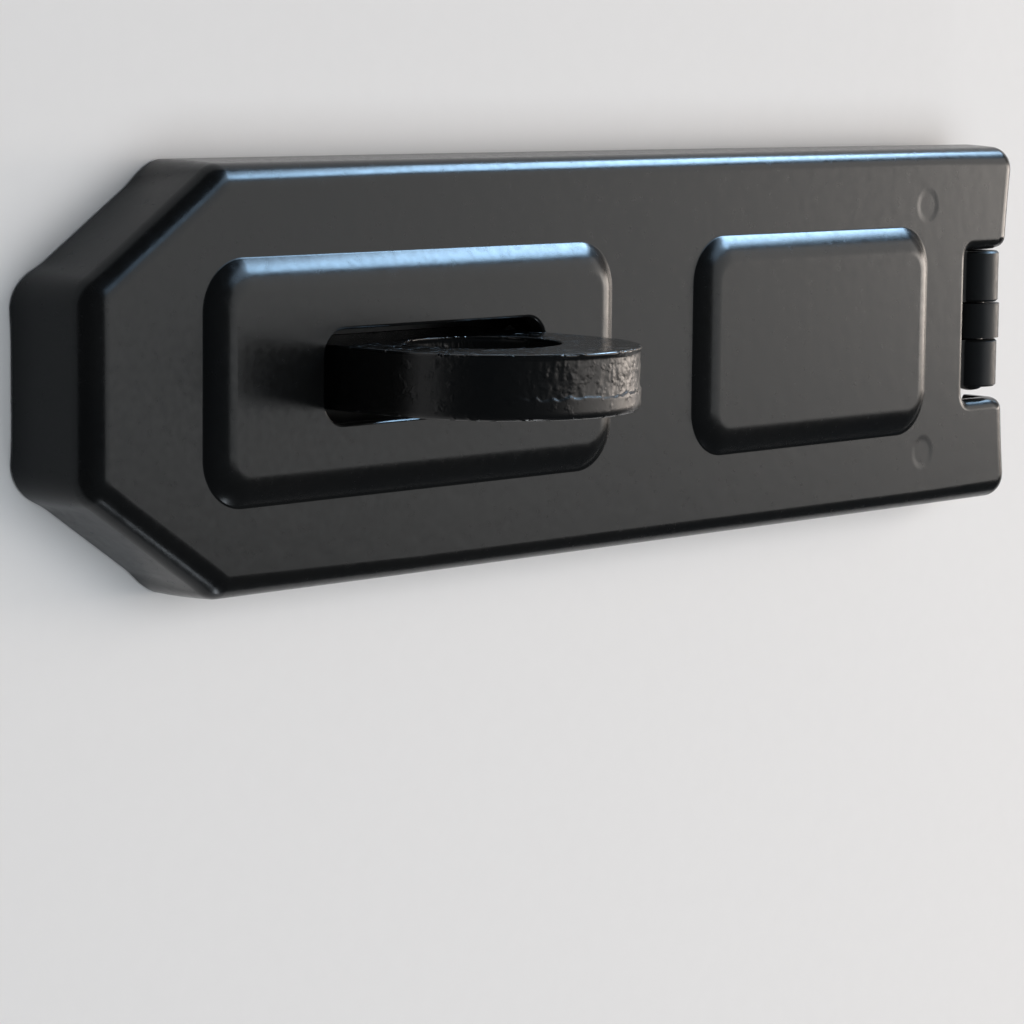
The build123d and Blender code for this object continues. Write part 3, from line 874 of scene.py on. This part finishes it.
def torn(u, y):
    """Depth of the tear at u round the rim and y across it: ridges along y inside the torn band."""
    v = (y + HALF_THICK) / (2 * HALF_THICK)
    slant = u + TEAR_SLANT * v
    rough = 0.4 * ridged(slant, v, 110, 3)
    rough = rough + 0.35 * ridged(slant, v, 230, 6)
    rough = rough + 0.25 * ridged(u, v, 400, 16)
    start = TEAR_START + TEAR_STRAY * (lattice_noise(u, v * 0, 190, 1) - 0.5)
    band = step(y, start, start + TEAR_STEP) * (1 - step(y, TEAR_END - TEAR_FADE, TEAR_END))
    return TEAR_DEPTH * band * (TEAR_LEAST + (1 - TEAR_LEAST) * rough)


print("tear:", round((TEAR_END - TEAR_START) / MM, 1), "mm wide")

# %% [markdown]
# Now the section. Each point of it has three numbers: how far across the thickness it lies, how
# far it is drawn in from the outline or out from the hole, and its share of the way from the
# outline to the hole. The corner where the punch came in is a quarter of an ellipse.

# %% The section of the eye
ROLL_IN, ROLL_ACROSS = 0.6 * MM, 1.0 * MM       # the rolled edge
BURR = 0.3 * MM             # the filed edge on the other side
RIM_STEPS, FACE_STEPS, ROLL_STEPS, BURR_STEPS = 44, 14, 7, 4


def quarter(steps, inward, across):
    """A quarter of an ellipse, as distances in and across from a sharp corner, from rim to face."""
    turn = np.linspace(0, pi / 2, steps)
    return inward * (1 - np.cos(turn)), across * (1 - np.sin(turn))


roll_in, roll_across = quarter(ROLL_STEPS, ROLL_IN, ROLL_ACROSS)
burr_in, burr_across = quarter(BURR_STEPS, BURR, BURR)
rim_y = np.linspace(-HALF_THICK + ROLL_ACROSS, HALF_THICK - BURR, RIM_STEPS)[1:-1]
wall_y = np.concatenate((-HALF_THICK + roll_across[::-1], rim_y, HALF_THICK - burr_across))
wall_in = np.concatenate((roll_in[::-1], rim_y * 0, burr_in))
way = np.linspace(0, 1, FACE_STEPS)[1:-1]
section_y = np.concatenate((wall_y, way * 0 + HALF_THICK, wall_y[::-1], way * 0 - HALF_THICK))
section_in = np.concatenate((wall_in, way * 0 + BURR, wall_in[::-1], way * 0 + ROLL_IN))
section_share = np.concatenate((wall_y * 0, way, wall_y * 0 + 1, way[::-1]))
print("section:", len(section_y), "points")

# %% The eye as a surface
FLANK_FILL = 0.85           # share of the tear that the paint filled on the flank of the free end
FLANK_START, FLANK_END = 0.35, 0.85     # how squarely that flank looks at the free end
BORE_TEAR = 0.6             # the tear in the hole, as a share of the rim's
FADE_START, FADE_END = 0.5 * MM, 3 * MM         # above the base plate, where the edges begin


def grid_faces(rows, columns):
    """Quads of a grid that closes on itself both ways."""
    i, j = np.meshgrid(np.arange(rows), np.arange(columns), indexing="ij")
    i, j = i.ravel(), j.ravel()
    k, m = (i + 1) % rows, (j + 1) % columns
    return np.stack((i * columns + j, k * columns + j, k * columns + m, i * columns + m), 1)


def new_piece(name, points, faces):
    """A smooth-shaded object at the origin, from lists of points and faces."""
    mesh = bpy.data.meshes.new(name)
    mesh.from_pydata(points, [], faces)
    mesh.shade_smooth()
    made = bpy.data.objects.new(name, mesh)
    scene.collection.objects.link(made)
    return made


def eye_points():
    """Every point of the eye: the outline and the hole, each moved by the edges and the tear,
    and the straight line between them at the point's share."""
    u = np.arange(AROUND)[:, None] / AROUND
    free = step(eye_path[:, 1], plate_top + FADE_START, plate_top + FADE_END)[:, None]
    middle = np.array((0, HOLE_HEIGHT))
    spoke = unit(eye_path - middle)
    flank = step(-eye_out[:, 0], FLANK_START, FLANK_END)[:, None]
    depth = torn(u, section_y[None, :]) * (1 - FLANK_FILL * flank)
    rim_in = (section_in[None, :] + depth * (section_share == 0)) * free
    bore_out = HOLE_RADIUS + section_in[None, :] + BORE_TEAR * depth * (section_share == 1)
    rim = eye_path[:, None] - eye_out[:, None] * rim_in[..., None]
    bore = middle + spoke[:, None] * bore_out[..., None]
    share = section_share[None, :, None]
    flat = rim * (1 - share) + bore * share
    y = np.broadcast_to(section_y[None, :], flat.shape[:2])
    return np.stack((flat[..., 0] + EYE_X, y, flat[..., 1]), -1).reshape(-1, 3)


eye = new_piece("eye", eye_points(), grid_faces(AROUND, len(section_y)))
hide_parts("staple_eye")
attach(eye, "base")
print("eye:", len(eye.data.polygons), "faces")

# %% [markdown]
# The eye has a wetter, glossier paint than the cover, and it ran over the rough blank: on the flat
# faces, where it lay thickest, it stands in small hills and shines most. How far a point lies from
# the middle of the plate tells a face from the rim. The pin gets the same paint.

# %% Glossy black for the eye
GLOSS_CLOUD_SCALE, HILL_SCALE, GRIT_SCALE = 120.0, 620.0, 2400.0
GLOSS_DARK_TINT, GLOSS_LIGHT_TINT = (0.70, 0.75, 0.85), (1.5, 1.5, 1.4)
FACE_START, FACE_END = HALF_THICK - 0.5 * MM, HALF_THICK - 0.05 * MM
FACE_GLOSS = 0.45           # roughness of the faces, as a share of the rim's
FACE_HILLS = 5.0            # height of the hills on the faces, times the rim's
HILL_START, HILL_END = 0.55, 0.75       # only the noise's tops stand out
GLOSS_SPECULAR, GLOSS_IOR = 0.36, 1.52


def gloss_coat(name, black, rough, hill_height, grit_height):
    """Glossy black that ran over a rough blank: scattered low hills, higher and smoother on the
    plate's faces than on its rim, and fine grit over all of it."""
    finish, tree, shader, place = new_finish(name)
    cloud = noise(tree, place, GLOSS_CLOUD_SCALE, 4.0)
    dark, light = shade(black, GLOSS_DARK_TINT), shade(black, GLOSS_LIGHT_TINT)
    tree.links.new(tinted(tree, cloud, dark, light), shader.inputs["Base Color"])
    y = add(tree, "SeparateXYZ", {"Vector": place}).outputs["Y"]
    off_middle = add(tree, "Math", {0: y}, operation="ABSOLUTE").outputs[0]
    gloss = ranged(tree, off_middle, FACE_START, FACE_END, rough, rough * FACE_GLOSS)
    tree.links.new(gloss, shader.inputs["Roughness"])
    swell = noise(tree, place, HILL_SCALE, 2.0)
    tallest = ranged(tree, off_middle, FACE_START, FACE_END, 1.0, FACE_HILLS)
    hills = ranged(tree, swell, HILL_START, HILL_END, 0.0, tallest)
    grit = noise(tree, place, GRIT_SCALE, 2.0)
    bumped(tree, shader, (hills, hill_height), (grit, grit_height))
    shader.inputs["Specular IOR Level"].default_value = GLOSS_SPECULAR
    shader.inputs["IOR"].default_value = GLOSS_IOR
    return finish


eye_coat = gloss_coat("eye_coat", black=0.003, rough=0.32, hill_height=0.00005, grit_height=0.00001)
eye.data.materials.append(eye_coat)
print("coated: eye")

# %% [markdown]
# The pin is a plain rod whose seen end is turned to a low dome. A profile of radii along the rod,
# swept round its axis, makes it: a lathe in a few lines of numpy.

# %% The hinge pin
pin_low, pin_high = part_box("hinge_pin")
PIN_RADIUS = (pin_high.x - pin_low.x) / 2
PIN_Z = (pin_low.z + pin_high.z) / 2
PIN_SIDES = 64
DOME, DOME_ROWS = 0.75 * MM, 12
DOME_TIP = 0.02 * MM        # radius of the small flat at the dome's top
POINT = 0.6 * MM            # broken edge of the hidden end


def lathe(name, y, radius, sides):
    """A closed surface of turns about the pin's axis: x = r cos a, z = r sin a, at each y."""
    turn = np.arange(sides) * 2 * pi / sides
    x = radius[:, None] * np.cos(turn)
    z = PIN_Z + radius[:, None] * np.sin(turn)
    points = np.stack((x, np.broadcast_to(y[:, None], x.shape), z), -1).reshape(-1, 3)
    rows = len(y)
    around = grid_faces(rows, sides)[:-sides].tolist()      # without the row from end to start
    caps = [list(range(sides)), list(range((rows - 1) * sides, rows * sides))[::-1]]
    return new_piece(name, points.tolist(), around + caps)


dome_turn = np.linspace(0, pi / 2, DOME_ROWS)[:0:-1]
dome_y = pin_low.y + DOME * (1 - np.sin(dome_turn))
dome_r = np.maximum(PIN_RADIUS * np.cos(dome_turn), DOME_TIP)
pin_y = np.concatenate((dome_y, (pin_low.y + DOME, pin_high.y - POINT, pin_high.y)))
pin_r = np.concatenate((dome_r, (PIN_RADIUS, PIN_RADIUS, PIN_RADIUS - POINT)))
pin = lathe("pin", pin_y, pin_r, PIN_SIDES)
pin_coat = gloss_coat("pin_coat", black=0.01, rough=0.22, hill_height=0.00002, grit_height=0.000005)
pin.data.materials.append(pin_coat)
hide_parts("hinge_pin")
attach(pin, "flap")
print("pin:", round((pin_high.y - pin_low.y) / MM, 1), "mm long")
